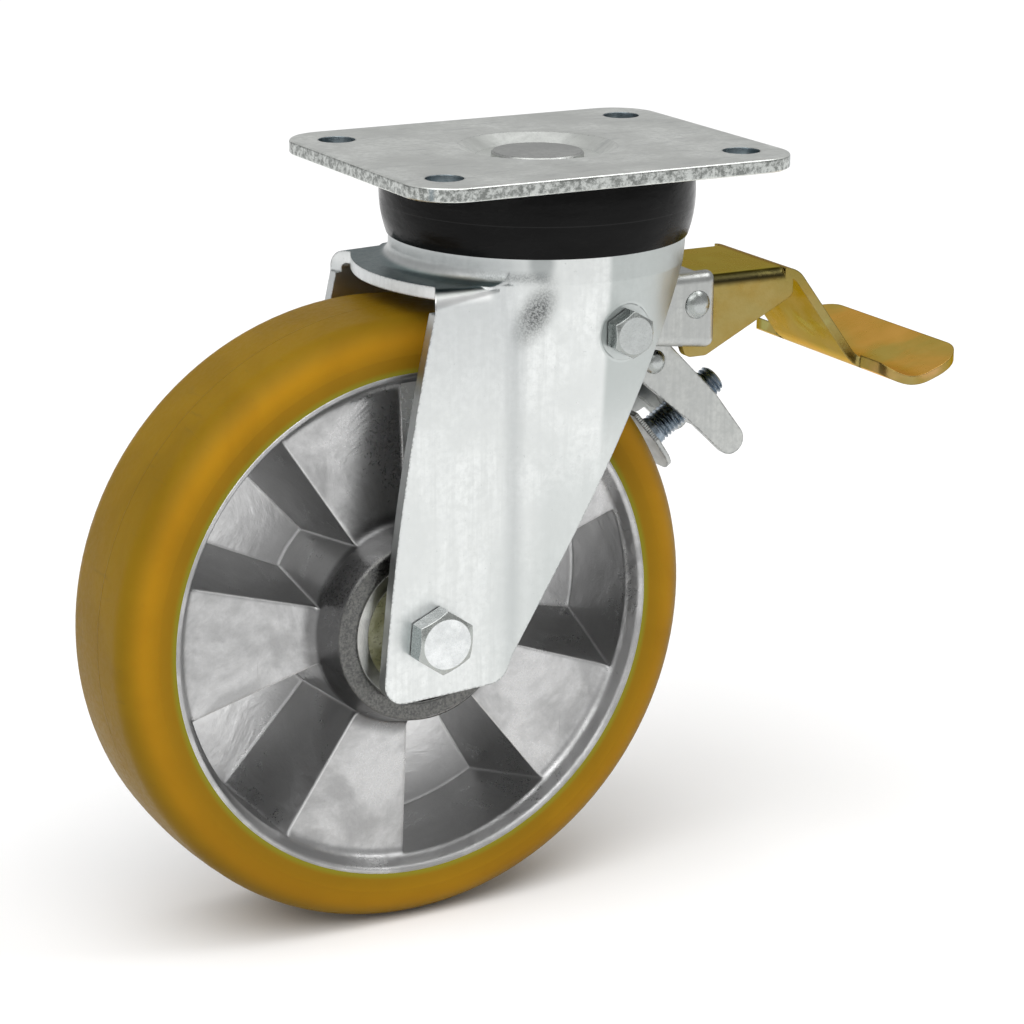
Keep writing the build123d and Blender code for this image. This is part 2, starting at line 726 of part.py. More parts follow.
def folded_sheet(points, radii, thickness):
    """The side view of a sheet that is bent at the inner points of its upper face."""
    lower = offset_below(points, thickness)
    lower_radii = []
    for index, radius in enumerate(radii):
        first, corner, last = points[index:index + 3]
        turn = ((corner[0] - first[0]) * (last[1] - corner[1])
                - (corner[1] - first[1]) * (last[0] - corner[0]))
        lower_radii.append(radius + math.copysign(thickness, turn))
    upper_line = FilletPolyline(*points, radius=radii)
    lower_line = FilletPolyline(*lower, radius=lower_radii)
    ends = [Line(points[0], lower[0]), Line(points[-1], lower[-1])]
    return make_face(upper_line.edges() + lower_line.edges() + ends)


def pedal_plan():
    """The pedal's sheet seen from above: narrow stem, notches and wide pad."""
    stem_end = pad_inner_x + pad_stem_overlap
    stem = Pos((pedal_web_start_x + stem_end) / 2, 0) * Rectangle(
        stem_end - pedal_web_start_x, 2 * pedal_half_width)
    pad_length = pad_edge_x - pad_inner_x
    pad = Pos(pad_inner_x + pad_length / 2, 0) * Rectangle(pad_length, 2 * pad_half_width)
    corners = pad.vertices().group_by(Axis.X)
    pad = fillet(corners[0], pad_inner_corner)
    pad = fillet(pad.vertices().group_by(Axis.X)[-1], pad_outer_corner)
    plan = stem + pad
    notches = Locations((pad_inner_x, pedal_half_width + notch_radius),
                        (pad_inner_x, -pedal_half_width - notch_radius))
    return plan - notches * Circle(notch_radius)


def make_pedal():
    """The folded pedal: channel, sloping stem and wide foot pad."""
    path = [(pedal_web_start_x, pedal_web_top_z), (pedal_crest_x, pedal_web_top_z),
            (gutter_x, gutter_z), (pad_edge_x, pad_edge_z)]
    profile = folded_sheet(path, (pedal_crest_radius, gutter_radius), pedal_sheet)
    pedal = slab(profile, -pad_half_width, pad_half_width)
    pedal &= extrude(Pos(0, 0, 2 * gutter_z) * pedal_plan(), -2 * gutter_z)
    side = outline([(pedal_pin_x - pedal_side_ahead, pedal_web_top_z - pedal_side_drop),
                    (pedal_web_start_x, pedal_web_top_z), (pedal_flange_end_x, pedal_web_top_z),
                    (pedal_flange_end_x, pedal_flange_tip_z),
                    (pedal_lobe_x + pedal_lobe_behind, pedal_lobe_z),
                    (pedal_lobe_x - pedal_lobe_ahead, pedal_lobe_z),
                    (pedal_pin_x - pedal_eye_radius, pedal_pin_z)])
    side = fillet(side.vertices().group_by(Axis.Y)[0], pedal_lobe_corner)
    side = fillet(side.vertices().sort_by_distance((pedal_flange_end_x, pedal_flange_tip_z))[0],
                  pedal_tip_corner)
    channel = slab(side, -pedal_half_width, pedal_half_width)
    long_edges = channel.edges().filter_by(Axis.X).group_by(Axis.Z)[-1]
    channel = fillet(long_edges, pedal_bend_radius)
    inner = pedal_half_width - pedal_sheet
    hollow_top = pedal_web_top_z - pedal_sheet
    hollow = Pos(pedal_crest_x, 0, hollow_top - beyond / 2) * Box(beyond, 2 * inner, beyond)
    channel -= fillet(hollow.edges().filter_by(Axis.X).group_by(Axis.Z)[-1],
                      pedal_bend_radius - pedal_sheet + side_gap)
    channel -= Pos(0, 0, hollow_top) * Box(2 * pedal_web_start_x, 2 * inner, 4 * pedal_sheet)
    slope = math.atan2(pedal_web_top_z - gutter_z, gutter_x - pedal_crest_x)
    crest_start_x = pedal_crest_x - pedal_crest_radius * math.tan(slope / 2)
    trim_start_x = pedal_web_start_x - overlap
    pedal -= Pos((trim_start_x + crest_start_x) / 2, 0, pedal_web_top_z) * Box(
        crest_start_x - trim_start_x, 3 * pedal_half_width, 2 * pedal_sheet)
    channel &= Pos(crest_start_x - beyond / 2, 0, 0) * Box(beyond, beyond, beyond)
    flange = slab(side, -pedal_half_width, pedal_half_width) - slab(side, -inner, inner)
    flange &= Pos(crest_start_x + beyond / 2, 0, 0) * Box(beyond, beyond, beyond)
    flange &= slab(outline(below_crest(path)), -beyond, beyond)
    pedal += channel
    pedal += flange
    return pedal - disc_y(pedal_pin_x, pedal_pin_z, pin_radius + running, -beyond, beyond)


def below_crest(path):
    """The region of the side view that lies under the middle of the pedal's sheet."""
    middle = offset_below(path, pedal_sheet / 2)[:3]
    return middle + [(middle[-1][0], -beyond), (middle[0][0], -beyond)]


def domed_pin(x, z, half_length, head_radius):
    """A riveted pin with a domed head at both ends."""
    pin = disc_y(x, z, pin_radius, -half_length, half_length)
    dome_radius = (head_radius ** 2 + pin_head_height ** 2) / (2 * pin_head_height)
    for side in (-1, 1):
        centre_y = side * (half_length + pin_head_height - dome_radius)
        ball = Pos(x, centre_y, z) * Sphere(dome_radius)
        face_y = side * half_length
        end_y = side * (half_length + pin_head_height + overlap)
        pin += ball & disc_y(x, z, head_radius + overlap, min(face_y, end_y), max(face_y, end_y))
    return pin


def wrap(*discs):
    """The flat outline that a tight band makes round some circles (x, z, radius)."""
    edges = []
    for x, z, radius in discs:
        edges += (Pos(x, z) * Circle(radius)).edges()
    return make_hull(edges)


def along_screw(distance):
    """A point on the screw's axis at a distance from its foot on the shoe."""
    polar = math.radians(shoe_polar_deg)
    angle = math.radians(screw_angle_deg)
    foot_radius = wheel_radius + shoe_gap + shoe_thickness
    return (wheel_x + foot_radius * math.cos(polar) + distance * math.cos(angle),
            wheel_z + foot_radius * math.sin(polar) + distance * math.sin(angle))


def screw_place(distance):
    """The place of a piece built along +Z that stands out along the screw."""
    x, z = along_screw(distance)
    return Pos(x, 0, z) * Rot(0, 90 - screw_angle_deg, 0)


def make_carrier():
    """The folded carrier that hangs from the pivot and holds the screw."""
    pivot = (brake_pivot_x, brake_pivot_z, carrier_arm_radius + carrier_eye_margin)
    pin = (lever_pin_x, lever_pin_z, carrier_arm_radius)
    seat_x, seat_z = along_screw(carrier_seat - carrier_sheet / 2)
    side = wrap(pivot, pin) + wrap(pin, (seat_x, seat_z, carrier_foot_radius))
    body = slab(side, -carrier_half_width, carrier_half_width)
    inner = carrier_half_width - carrier_sheet
    body -= slab(side, -inner, inner)
    plate = Pos(0, 0, -carrier_sheet / 2) * Box(
        2 * carrier_seat_half_length, 2 * inner + overlap, carrier_sheet)
    body += screw_place(carrier_seat) * plate
    body -= disc_y(brake_pivot_x, brake_pivot_z, pivot_tube_radius + running, -beyond, beyond)
    body -= disc_y(lever_pin_x, lever_pin_z, pin_radius + running, -beyond, beyond)
    bore = Cylinder(screw_radius + running, 4 * carrier_sheet)
    return body - screw_place(carrier_seat) * bore


def make_screw():
    """The adjusting screw that stands on the shoe, a rod of the thread's outer diameter."""
    rod = Pos(0, 0, screw_length / 2) * Cylinder(screw_radius, screw_length)
    rod = chamfer(rod.edges().sort_by(Axis.Z)[-1], screw_chamfer)
    return screw_place(0) * rod


def make_shoe():
    """The bent brake shoe that presses on the tread, with teeth along its upper sides."""
    bend = math.radians(shoe_bend_deg)
    upper_end = (shoe_bend_across - shoe_upper_length * math.cos(bend),
                 -shoe_upper_length * math.sin(bend))
    path = [upper_end, (shoe_bend_across, 0), (shoe_lower_length, 0)]
    profile = folded_sheet(path, (shoe_bend_radius,), shoe_thickness)
    shoe = slab(profile, -shoe_half_width, shoe_half_width)
    plan_start = upper_end[0] - overlap
    plan = Pos((shoe_lower_length + plan_start) / 2, 0) * Rectangle(
        shoe_lower_length - plan_start, 2 * shoe_half_width)
    plan = fillet(plan.vertices().group_by(Axis.X)[-1], shoe_tongue_radius)
    shoe &= extrude(Pos(0, 0, -beyond / 2) * plan, beyond)
    count = int((shoe_bend_across - upper_end[0]) / shoe_tooth_pitch)
    gap = Box(shoe_tooth_pitch / 2, 2 * shoe_tooth_depth, beyond)
    for index in range(count):
        x = upper_end[0] + (index + 0.5) * shoe_tooth_pitch
        for side in (-1, 1):
            shoe -= Pos(x, side * shoe_half_width, 0) * gap
    return screw_place(0) * shoe


def make_lever(side):
    """A release lever, a flat tongue on the near (-1) or far (+1) side of the carrier."""
    pin = (lever_pin_x, lever_pin_z, lever_eye_radius)
    middle = (lever_mid_x, lever_mid_z, lever_mid_radius)
    shape = wrap(pin, middle) + wrap(middle, (lever_tip_x, lever_tip_z, lever_tip_radius))
    if side > 0:
        shape += wrap(pin, middle, (lobe_x, lobe_z, lobe_radius))
    inside = side * (carrier_half_width + lever_gap)
    outside = inside + side * lever_sheet
    body = slab(shape, min(inside, outside), max(inside, outside))
    return body - disc_y(lever_pin_x, lever_pin_z, pin_radius + running, -beyond, beyond)


def make_spring():
    """The close-wound torsion spring round the pivot tube."""
    length = spring_turns * spring_pitch
    path = Helix(spring_pitch, length, spring_radius)
    section = Plane(origin=path @ 0, z_dir=path % 0) * Circle(spring_wire_radius)
    coil = sweep(section, path)
    return Pos(brake_pivot_x, length / 2, brake_pivot_z) * Rot(90, 0, 0) * coil


def build():
    """Every sub-part by name."""
    parts = {}
    lower_top_z = lower_ball_z - lower_ball_drop
    lower_bottom_z = lower_top_z - lower_race_height
    nut_bottom_z = lower_bottom_z - kingpin_nut_height
    parts["top_plate"] = make_top_plate()
    parts["kingpin"] = make_kingpin(nut_bottom_z)
    parts["upper_race"] = make_upper_race()
    parts["lower_race"] = make_lower_race(lower_top_z, lower_bottom_z)
    nut = hexagon_nut(kingpin_nut_flats, kingpin_nut_height, kingpin_radius + running)
    parts["kingpin_nut"] = Pos(0, 0, lower_bottom_z) * Rot(180, 0, 0) * nut
    parts["fork"] = make_fork()
    parts["fork_upper_track"] = make_fork_upper_track()
    parts["fork_lower_track"] = make_fork_lower_track()
    parts["upper_balls"] = ball_ring(upper_ball_count, upper_track_radius, upper_ball_radius,
                                     Pos(0, 0, upper_ball_z))
    parts["lower_balls"] = ball_ring(lower_ball_count, lower_track_radius, lower_ball_radius,
                                     Pos(0, 0, lower_ball_z))
    parts["seal_ring"] = make_seal_ring()
    parts["rim"] = make_rim()
    parts["tyre"] = make_tyre()
    for name, side in (("near", -1), ("far", 1)):
        inner, outer, balls, shield = make_bearing(side)
        parts[name + "_inner_ring"] = inner
        parts[name + "_outer_ring"] = outer
        parts[name + "_bearing_balls"] = balls
        parts[name + "_bearing_shield"] = shield
        face = side * bearing_face
        wall = side * (fork_inner_half_width - running)
        parts[name + "_spacer"] = ring_y(wheel_x, wheel_z, bearing_bore_radius + running,
                                         bearing_bore_radius + bearing_inner_wall,
                                         min(face, wall), max(face, wall))
    parts["bearing_spacer"] = ring_y(wheel_x, wheel_z, bearing_bore_radius + running,
                                     bearing_bore_radius + bearing_inner_wall,
                                     -bearing_inner_face, bearing_inner_face)
    parts["axle_tube"] = ring_y(wheel_x, wheel_z, axle_radius + running, bearing_bore_radius,
                                -fork_inner_half_width, fork_inner_half_width)
    washer_face = fork_outer + axle_washer_thickness
    axle_length = fork_outer + washer_face + axle_nut_height + bolt_tip
    parts["axle_bolt"] = bolt(axle_radius, axle_bolt_flats, axle_bolt_head, axle_length,
                              facing_near(wheel_x, wheel_z, -fork_outer))
    parts["axle_washer"] = ring_y(wheel_x, wheel_z, axle_radius + running, axle_washer_radius,
                                  fork_outer, washer_face)
    parts["axle_nut"] = facing_far(wheel_x, wheel_z, washer_face) * hexagon_nut(
        axle_bolt_flats, axle_nut_height, axle_radius + running)
    seat = pivot_seat_half_width
    pivot_face = seat + pivot_washer_thickness
    pivot_length = seat + pivot_face + pivot_nut_height + bolt_tip
    parts["pivot_bolt"] = bolt(pivot_bolt_radius, pivot_bolt_flats, pivot_bolt_head, pivot_length,
                               facing_near(brake_pivot_x, brake_pivot_z, -seat))
    parts["pivot_washer"] = ring_y(brake_pivot_x, brake_pivot_z, pivot_bolt_radius + running,
                                   pivot_washer_radius, seat, pivot_face)
    parts["pivot_nut"] = facing_far(brake_pivot_x, brake_pivot_z, pivot_face) * hexagon_nut(
        pivot_bolt_flats, pivot_nut_height, pivot_bolt_radius + running)
    parts["pivot_tube"] = ring_y(brake_pivot_x, brake_pivot_z, pivot_bolt_radius + running,
                                 pivot_tube_radius, -seat + sheet, seat - sheet)
    parts["brake_bracket"] = make_bracket()
    parts["pedal_pin"] = domed_pin(pedal_pin_x, pedal_pin_z, bracket_half_width,
                                   pedal_pin_head_radius)
    parts["brake_pedal"] = make_pedal()
    parts["shoe_carrier"] = make_carrier()
    parts["lever_pin"] = domed_pin(lever_pin_x, lever_pin_z,
                                   carrier_half_width + lever_gap + lever_sheet + running,
                                   lever_pin_head_radius)
    parts["brake_shoe"] = make_shoe()
    parts["adjusting_screw"] = make_screw()
    parts["screw_nut"] = screw_place(carrier_seat) * hexagon_nut(
        screw_nut_flats, screw_nut_height, screw_radius + running)
    parts["near_release_lever"] = make_lever(-1)
    parts["far_release_lever"] = make_lever(1)
    parts["return_spring"] = make_spring()
    return parts


for name, shape in build().items():
    export_step(shape, os.path.join("parts", name + ".step"))
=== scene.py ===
import json
import math

import bpy
from mathutils import Matrix, Vector


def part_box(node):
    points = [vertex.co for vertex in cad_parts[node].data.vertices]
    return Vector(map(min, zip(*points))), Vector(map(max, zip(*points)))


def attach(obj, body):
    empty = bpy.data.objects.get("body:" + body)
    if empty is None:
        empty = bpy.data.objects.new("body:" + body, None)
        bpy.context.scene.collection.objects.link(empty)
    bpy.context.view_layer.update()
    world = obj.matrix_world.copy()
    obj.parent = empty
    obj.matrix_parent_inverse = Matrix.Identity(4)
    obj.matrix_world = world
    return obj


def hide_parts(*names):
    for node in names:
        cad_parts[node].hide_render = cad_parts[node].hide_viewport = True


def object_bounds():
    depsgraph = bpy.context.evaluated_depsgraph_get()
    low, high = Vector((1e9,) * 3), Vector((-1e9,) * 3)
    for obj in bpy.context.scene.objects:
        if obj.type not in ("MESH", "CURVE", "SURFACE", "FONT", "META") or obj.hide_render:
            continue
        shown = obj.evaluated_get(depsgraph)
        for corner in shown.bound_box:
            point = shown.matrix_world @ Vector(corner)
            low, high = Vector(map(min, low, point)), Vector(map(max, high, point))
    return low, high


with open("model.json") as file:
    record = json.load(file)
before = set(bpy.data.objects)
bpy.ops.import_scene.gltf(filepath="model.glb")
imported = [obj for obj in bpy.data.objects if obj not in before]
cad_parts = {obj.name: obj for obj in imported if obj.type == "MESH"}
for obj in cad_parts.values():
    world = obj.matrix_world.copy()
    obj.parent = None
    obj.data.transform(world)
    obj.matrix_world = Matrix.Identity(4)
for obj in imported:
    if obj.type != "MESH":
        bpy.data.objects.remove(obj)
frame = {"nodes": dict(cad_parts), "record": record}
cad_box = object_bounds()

# The frame is in metres: +Z up, +X towards the brake pedal, the wheel's axle along Y,
# and the side with the bolt heads on -Y.

# Camera, from the photograph's own perspective
camera_place = (-0.4972, -0.8989, 0.1812)
camera_azimuth = -28.536
camera_elevation = 16.406
camera_roll = 0.339
camera_focal_pixels = 3271.9
image_pixels = 1024
sensor_width = 36.0

# Floor and light
floor_reach = 12.0
floor_level = 0.62
backdrop_level = 1.0
world_level = 0.50
lit_place = (0.0, 0.0, -0.1)
sun_place = (-0.7, -0.6, 1.6)
sun_power = 1.85
sun_angle_deg = 64.0
right_lamp_place = (0.70, -0.40, 1.15)
right_lamp_size = (0.7, 0.7)
right_lamp_power = 4.5
left_lamp_place = (-1.5, -0.9, 0.5)
left_lamp_size = (0.9, 1.2)
left_lamp_power = 3.0

# Adjusting screw
screw_angle_deg = 33.5
screw_length = 0.0315
thread_radius = 0.005
thread_depth = 0.00092
thread_pitch = 0.0015
thread_flat_share = 0.12
thread_collar = 0.0035
thread_chamfer = 0.0009
thread_turn_steps = 48
thread_pitch_steps = 8

# Bolt heads, with shares of half their width across flats, and of the shank for its end
bolt_steps = 96
bolt_face_share = 0.90
bolt_face_deg = 30.0
bolt_washer_share = 0.94
bolt_washer_height = 0.0004
bolt_end_bevel_share = 0.12

# Marks, painted shade and a painted highlight, at places found in the photograph
shelf_below_seal = 0.0081
crease_x = -0.0285
crease_half_width = 0.0045
smudge_x = -0.0088
smudge_z = -0.0445
smudge_radius = 0.0068
smudge_core_radius = 0.0008
smudge_lean = 0.32
smudge_squash = 0.50
nose_place = (-0.0215, 0.041, -0.0283)
nose_stretch = (1, 0.3, 0.7)
nose_radius = 0.0050
pivot_seat_radius = 0.0101
inner_half_length = 0.0640
inner_half_width = 0.0505
hub_face_radius = 0.0330
ejector_place = (-0.0689, -0.024, -0.1728)
ejector_radius = 0.0040
ejector_line = 0.0005
tyre_parting_y = -0.0040
tyre_parting_half_width = 0.0003
seal_parting_height = 0.0105
seal_parting_half_width = 0.00025

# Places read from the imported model
tyre_low, tyre_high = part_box("tyre")
wheel_centre = (tyre_low + tyre_high) / 2
wheel_radius = (tyre_high.z - tyre_low.z) / 2
floor_z = cad_box[0][2]
rim_low, rim_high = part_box("rim")
bond_radius = (rim_high.z - rim_low.z) / 2
hub_face = -rim_low.y
seal_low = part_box("seal_ring")[0]
shelf_z = seal_low.z - shelf_below_seal
pivot_low, pivot_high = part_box("pivot_bolt")
pivot_centre = (pivot_low + pivot_high) / 2


class Shader:
    """Short calls that add and join the nodes of one material."""

    def __init__(self, name):
        self.material = bpy.data.materials.new(name)
        self.material.use_nodes = True
        self.tree = self.material.node_tree
        self.surface = self.tree.nodes["Principled BSDF"]

    def add(self, kind, **settings):
        """A new node of a kind, with its settings."""
        node = self.tree.nodes.new("ShaderNode" + kind)
        for name, value in settings.items():
            setattr(node, name, value)
        return node

    def feed(self, socket, value):
        """Join a socket to another, or write a plain value on it."""
        if isinstance(value, bpy.types.NodeSocket):
            self.tree.links.new(value, socket)
        else:
            socket.default_value = value

    def place(self, stretch=(1, 1, 1), turn=(0, 0, 0)):
        """The object's own coordinates, turned and stretched."""
        coordinates = self.add("TexCoord")
        mapping = self.add("Mapping")
        self.feed(mapping.inputs["Vector"], coordinates.outputs["Object"])
        mapping.inputs["Rotation"].default_value = turn
        mapping.inputs["Scale"].default_value = stretch
        return mapping.outputs["Vector"]

    def noise(self, scale, detail=4.0, roughness=0.5, stretch=(1, 1, 1), twist=0.0,
              turn=(0, 0, 0)):
        """Noise over the object, from 0 to 1."""
        node = self.add("TexNoise")
        self.feed(node.inputs["Vector"], self.place(stretch, turn))
        node.inputs["Scale"].default_value = scale
        node.inputs["Detail"].default_value = detail
        node.inputs["Roughness"].default_value = roughness
        node.inputs["Distortion"].default_value = twist
        return node.outputs["Fac"]

    def math(self, operation, first, second=0.0):
        """One sum on two values."""
        node = self.add("Math", operation=operation)
        self.feed(node.inputs[0], first)
        self.feed(node.inputs[1], second)
        return node.outputs[0]

    def product(self, *values):
        """Several masks, one times another."""
        result = values[0]
        for value in values[1:]:
            result = self.math("MULTIPLY", result, value)
        return result

    def span(self, value, low, high, to_low=0.0, to_high=1.0):
        """Bring a value from one range to another, cut off at both ends."""
        node = self.add("MapRange", interpolation_type="SMOOTHSTEP")
        self.feed(node.inputs["Value"], value)
        self.feed(node.inputs["From Min"], low)
        self.feed(node.inputs["From Max"], high)
        self.feed(node.inputs["To Min"], to_low)
        self.feed(node.inputs["To Max"], to_high)
        return node.outputs["Result"]

    def band(self, value, middle, half_width):
        """1 at a value and 0 beyond a distance from it."""
        distance = self.math("ABSOLUTE", self.math("SUBTRACT", value, middle))
        return self.span(distance, half_width, 0.0)

    def mix(self, share, first, second):
        """Blend two colours."""
        node = self.add("Mix", data_type="RGBA")
        self.feed(node.inputs["Factor"], share)
        for socket, value in ((node.inputs[6], first), (node.inputs[7], second)):
            if isinstance(value, tuple):
                value = (*value, 1.0)
            self.feed(socket, value)
        return node.outputs[2]

    def axis(self, name):
        """One of the object's own coordinates."""
        node = self.add("SeparateXYZ")
        self.feed(node.inputs[0], self.add("TexCoord").outputs["Object"])
        return node.outputs[name]

    def facing(self, name):
        """How far the surface faces along one of the object's axes, either way."""
        node = self.add("SeparateXYZ")
        self.feed(node.inputs[0], self.add("TexCoord").outputs["Normal"])
        return self.math("ABSOLUTE", node.outputs[name])

    def distance_to(self, centre, stretch=(1, 1, 1)):
        """The distance to a point, with each axis stretched first."""
        offset = self.add("VectorMath", operation="SUBTRACT")
        self.feed(offset.inputs[0], self.add("TexCoord").outputs["Object"])
        offset.inputs[1].default_value = centre
        stretched = self.add("VectorMath", operation="MULTIPLY")
        self.feed(stretched.inputs[0], offset.outputs[0])
        stretched.inputs[1].default_value = stretch
        length = self.add("VectorMath", operation="LENGTH")
        self.feed(length.inputs[0], stretched.outputs[0])
        return length.outputs["Value"]

    def edges(self, radius):
        """1 on the sharp edges of a solid and 0 on its faces."""
        bevel = self.add("Bevel", samples=6)
        bevel.inputs["Radius"].default_value = radius
        dot = self.add("VectorMath", operation="DOT_PRODUCT")
        self.feed(dot.inputs[0], bevel.outputs["Normal"])
        self.feed(dot.inputs[1], self.add("NewGeometry").outputs["Normal"])
        return self.span(dot.outputs["Value"], 0.999, 0.88)

    def bump(self, height, depth, soft_edge=0.0):
        """Relief of a height, in metres, over edges that are softened by a radius."""
        node = self.add("Bump")
        node.inputs["Strength"].default_value = 1.0
        node.inputs["Distance"].default_value = depth
        self.feed(node.inputs["Height"], height)
        if soft_edge:
            bevel = self.add("Bevel", samples=6)
            bevel.inputs["Radius"].default_value = soft_edge
            self.feed(node.inputs["Normal"], bevel.outputs["Normal"])
        self.feed(self.surface.inputs["Normal"], node.outputs["Normal"])

    def set(self, **values):
        """Write or join the surface's own sockets."""
        for name, value in values.items():
            socket = self.surface.inputs[name.replace("_", " ").title()]
            if isinstance(value, tuple) and len(value) == 3 and socket.type == "RGBA":
                value = (*value, 1.0)
            self.feed(socket, value)


def zinc(name, light, dark, soft_edge=0.0006):
    """Satin bright zinc on pressed sheet, before its marks: shader, colour and roughness."""
    shader = Shader(name)
    clouds = shader.noise(34, 6, 0.62, twist=0.3)
    grain = shader.noise(480, 5, 0.72)
    brushed = shader.noise(420, 3, 0.6, stretch=(1, 1, 0.05), turn=(0.0, 0.12, 0.0))
    specks = shader.noise(1100, 3, 0.75)
    pits = shader.span(shader.noise(700, 3, 0.7), 0.66, 0.76)
    colour = shader.mix(shader.span(clouds, 0.32, 0.68), dark, light)
    colour = shader.mix(shader.span(grain, 0.38, 0.66, 0.0, 0.60), colour, dark)
    colour = shader.mix(shader.span(brushed, 0.42, 0.66, 0.0, 0.60), colour, dark)
    colour = shader.mix(shader.product(pits, 0.45), colour, (0.26, 0.28, 0.28))
    edge = shader.product(shader.edges(0.0011), shader.span(specks, 0.44, 0.58), 0.85)
    colour = shader.mix(edge, colour, (0.10, 0.11, 0.11))
    rough = shader.math("ADD", shader.span(clouds, 0.3, 0.7, 0.27, 0.36),
                        shader.span(grain, 0.3, 0.7, 0.0, 0.08))
    relief = shader.math("ADD", shader.product(brushed, 0.4), shader.product(grain, 0.6))
    shader.bump(relief, 0.00005, soft_edge)
    return shader, colour, rough


def zinc_small():
    """Zinc on the small folded parts of the brake."""
    shader, colour, rough = zinc("zinc_small", (0.54, 0.55, 0.53), (0.40, 0.41, 0.40))
    shader.set(base_color=colour, metallic=1.0, roughness=rough)
    return shader.material


def zinc_plate():
    """Zinc on the top plate, with grey mottled cut edges and painted shade on the walls of its
    inner holes.
    """
    shader, colour, rough = zinc("zinc_plate", (0.96, 0.98, 0.95), (0.70, 0.72, 0.69))
    wall = shader.span(shader.facing("Z"), 0.65, 0.35)
    mottle = shader.noise(560, 5, 0.75)
    cut = shader.mix(shader.span(mottle, 0.40, 0.60), (0.20, 0.21, 0.20), (0.56, 0.58, 0.56))
    stains = shader.span(shader.noise(60, 5, 0.7, stretch=(1, 3, 1)), 0.50, 0.72, 0.0, 0.55)
    colour = shader.mix(stains, colour, (0.52, 0.54, 0.53))
    colour = shader.mix(wall, colour, cut)
    # Painted shade: walls inside the plate's middle are darkened blue-grey, the shade in its
    # holes.
    inner = shader.span(shader.distance_to((0, 0, 0), (0, 1, 0)),
                        inner_half_width, inner_half_width - 0.0015)
    inner = shader.product(inner, shader.span(shader.distance_to((0, 0, 0), (1, 0, 0)),
                                              inner_half_length, inner_half_length - 0.0015))
    colour = shader.mix(shader.product(wall, inner, 0.85), colour, (0.20, 0.25, 0.28))
    shader.set(base_color=colour, metallic=1.0, roughness=rough)
    return shader.material


